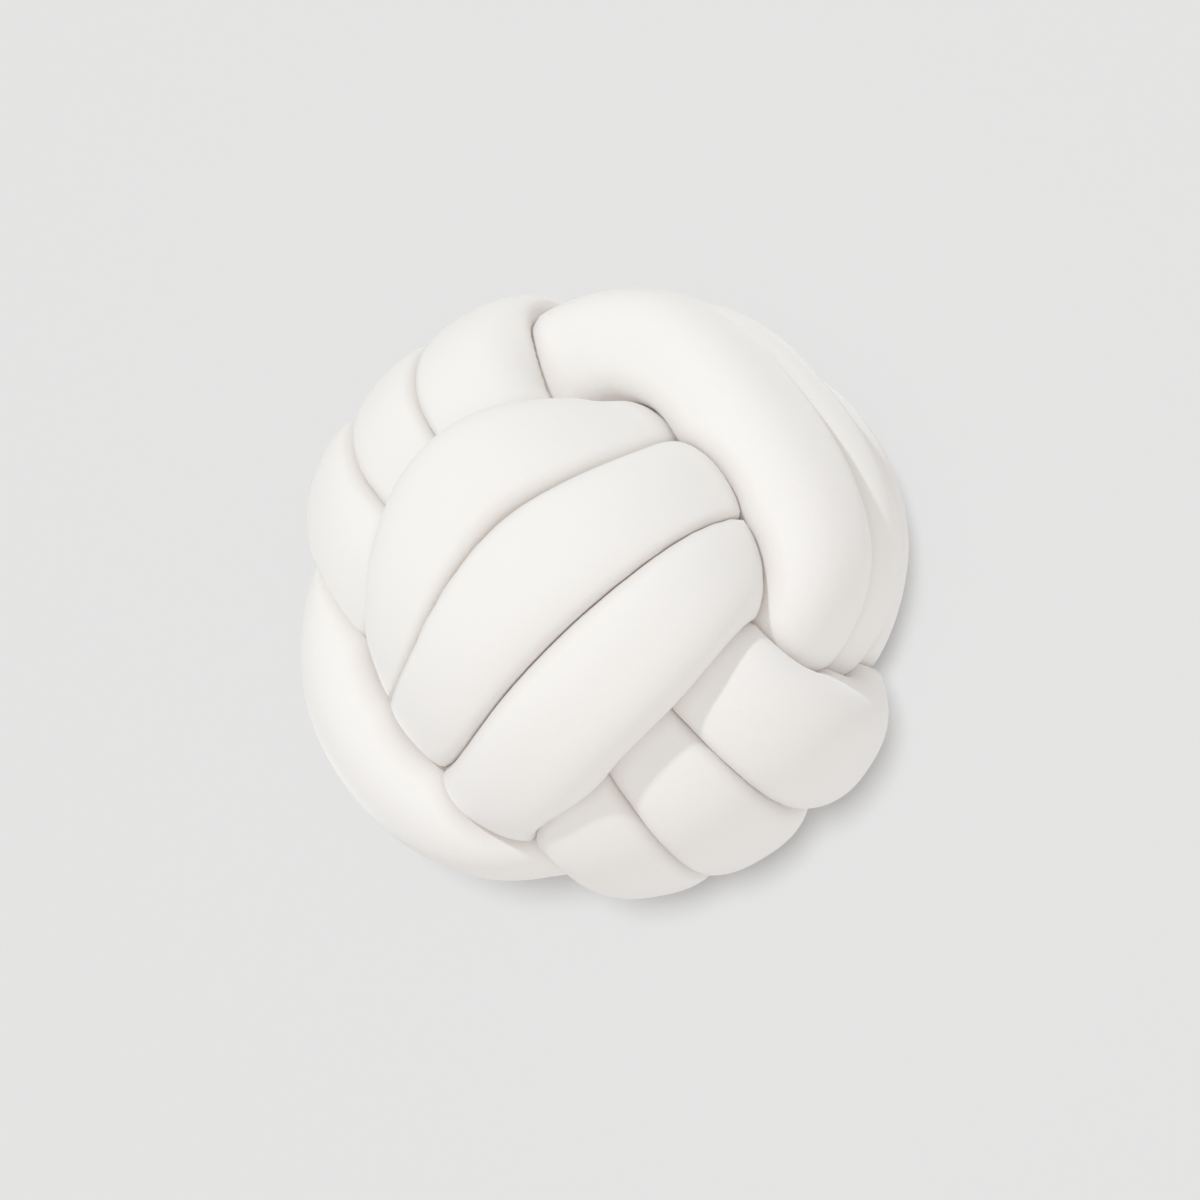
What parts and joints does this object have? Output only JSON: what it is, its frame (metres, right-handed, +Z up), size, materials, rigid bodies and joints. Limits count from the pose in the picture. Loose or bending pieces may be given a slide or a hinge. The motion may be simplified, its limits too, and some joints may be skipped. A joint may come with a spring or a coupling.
{
  "type": "knot cushion",
  "caption": "Round soft cushion knotted from one long stuffed tube of knitted cloth, to lean on, hold or set on a sofa or bed.",
  "frame": {"origin": "middle of the footprint, on the flat spot that the ball rests on", "axes": "+X along the passes on top, +Y across them, +Z up"},
  "size_m": [0.299, 0.3, 0.293],
  "materials": {
    "off_white_knit": "matte brushed fine knit"
  },
  "bodies": {
    "root": {"knotted_tube": "off_white_knit"}
  },
  "joints": []
}
